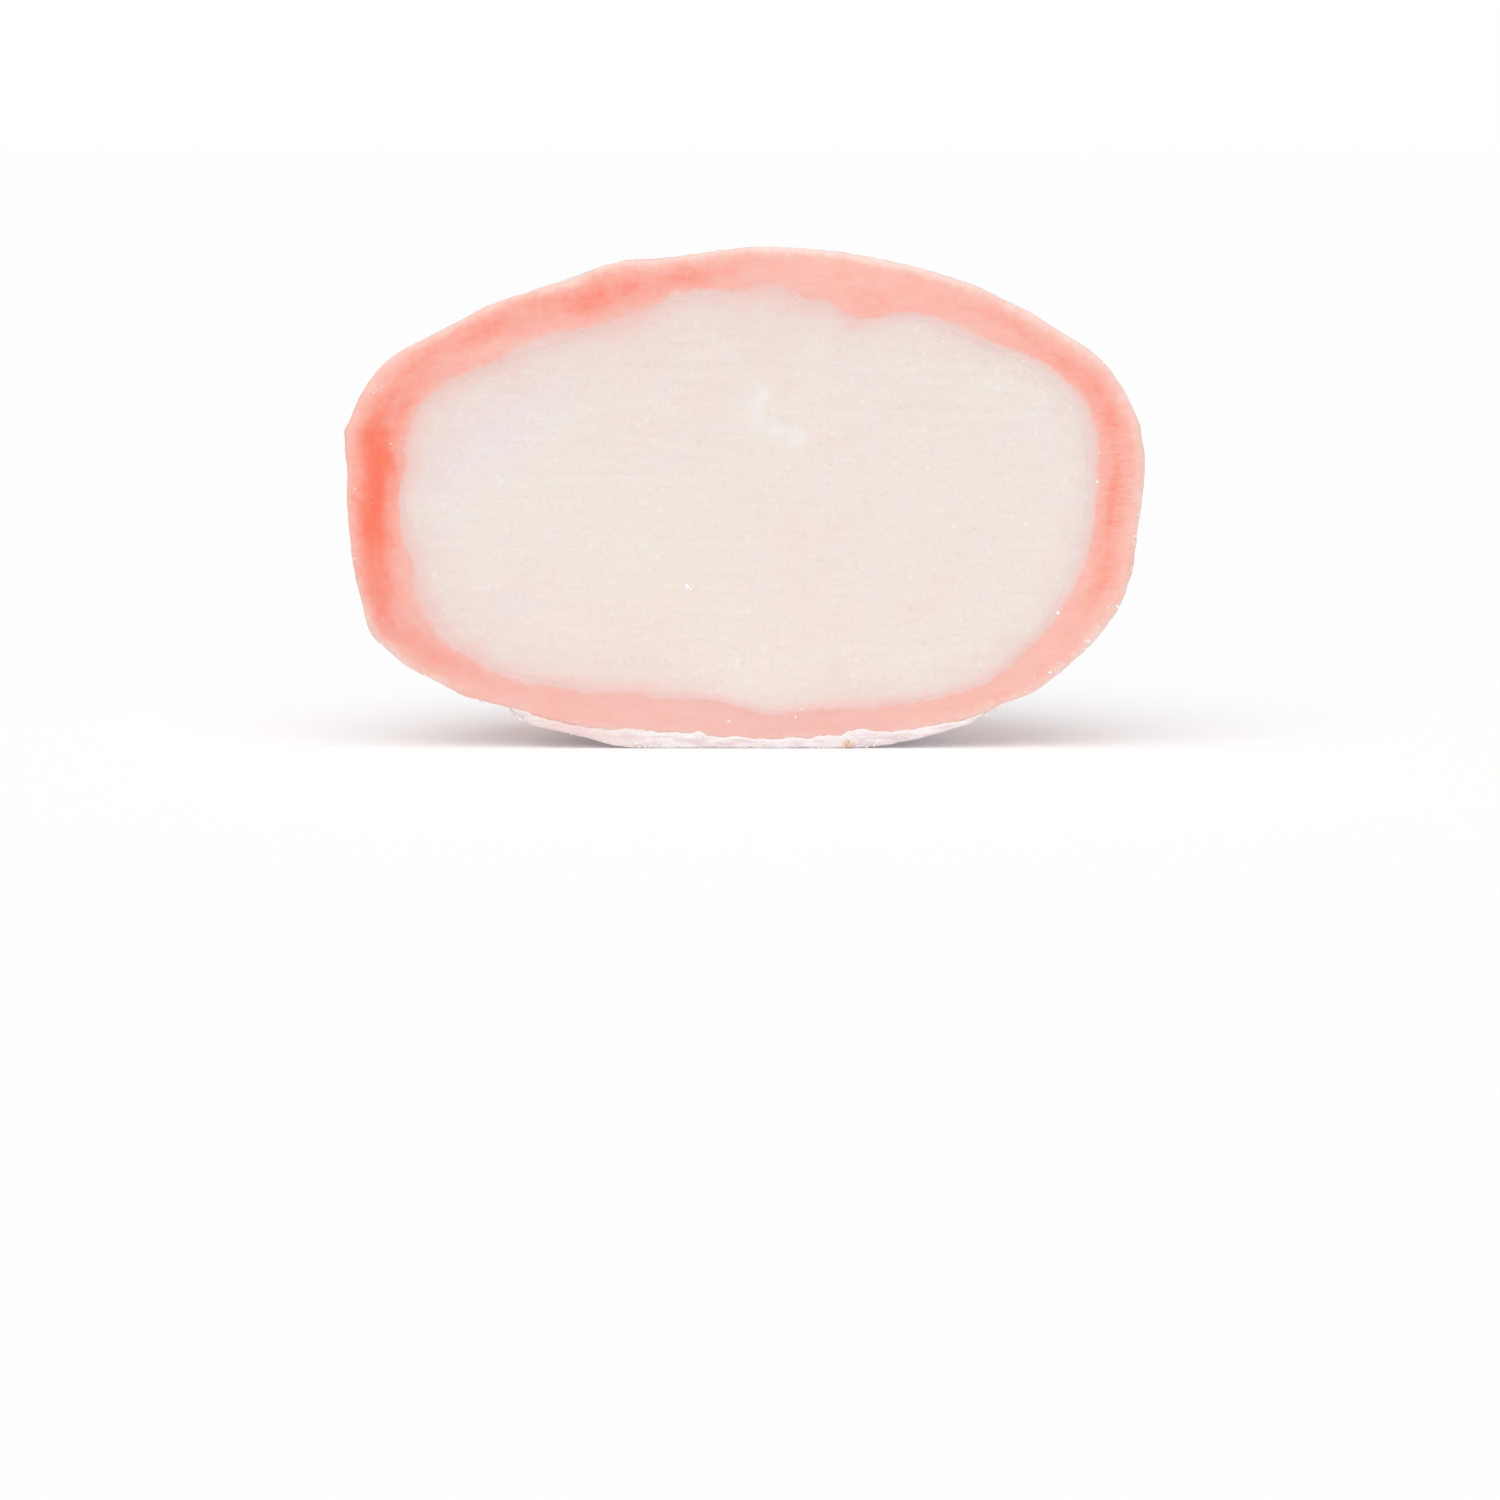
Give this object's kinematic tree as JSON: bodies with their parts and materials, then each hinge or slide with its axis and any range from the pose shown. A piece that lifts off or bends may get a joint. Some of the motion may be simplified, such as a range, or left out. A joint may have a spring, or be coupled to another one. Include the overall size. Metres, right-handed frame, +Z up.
{
  "type": "halved lychee mochi",
  "caption": "Half of a lychee mochi: soft coral rice dough round a pale lychee ice cream filling, cut upright, with starch caked under it.",
  "frame": {"origin": "centre of the half's bounding box, at the height of the flattened underside it rests on", "axes": "+Z up; the flat cut face looks along -Y, and the powdered round back is at +Y; +X is to the right as seen facing the cut"},
  "size_m": [0.0452, 0.0226, 0.0283],
  "materials": {
    "dough": "moist and faintly glossy where cut, dusted with starch outside",
    "filling": "fine frozen grain with small ice glints",
    "starch": "dry powder caked into a crumbly sheet"
  },
  "bodies": {
    "root": {"mochi_dough": "dough", "lychee_filling": "filling", "starch_base": "starch"}
  },
  "joints": []
}
